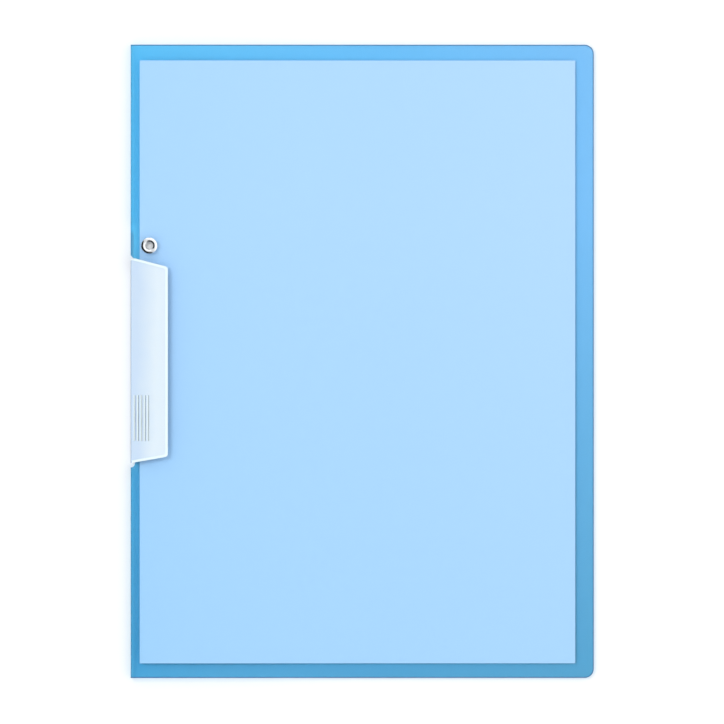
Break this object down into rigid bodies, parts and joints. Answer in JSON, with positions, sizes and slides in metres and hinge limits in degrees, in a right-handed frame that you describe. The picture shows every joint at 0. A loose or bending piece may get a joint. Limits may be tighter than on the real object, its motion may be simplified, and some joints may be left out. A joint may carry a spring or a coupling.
{
  "type": "plastic document folder",
  "caption": "A4 report folder in translucent blue film, closed, with a white swing clip on a steel eyelet that grips the sheets through a slot in the fold.",
  "frame": {"origin": "centre of the closed folder's underside, on the table", "axes": "+X from the fold to the free edge, +Y up the page along the fold, +Z out of the front leaf"},
  "size_m": [0.2266, 0.31, 0.0074],
  "materials": {
    "blue_film": "translucent polypropylene film with a fine embossed grain",
    "white_plastic": "smooth moulded, satin gloss",
    "nickel_steel": "polished nickel plate",
    "white_paper": "uncoated office paper"
  },
  "bodies": {
    "back": {"back_cover": "blue_film"},
    "front": {"front_cover": "blue_film", "paper_sheets": "white_paper", "eyelet": "nickel_steel"},
    "clip": {"swing_clip": "white_plastic"}
  },
  "joints": [
    {"name": "cover_open", "type": "hinge", "parent": "back", "child": "front", "pos_m": [-0.1135, 0, 0.00413], "axis": [0, -1, 0], "range_deg": [0, 180]},
    {"name": "clip_swing", "type": "hinge", "parent": "front", "child": "clip", "pos_m": [-0.10425, 0.0566, 0.0045], "axis": [0, 0, -1], "range_deg": [0, 95]}
  ]
}
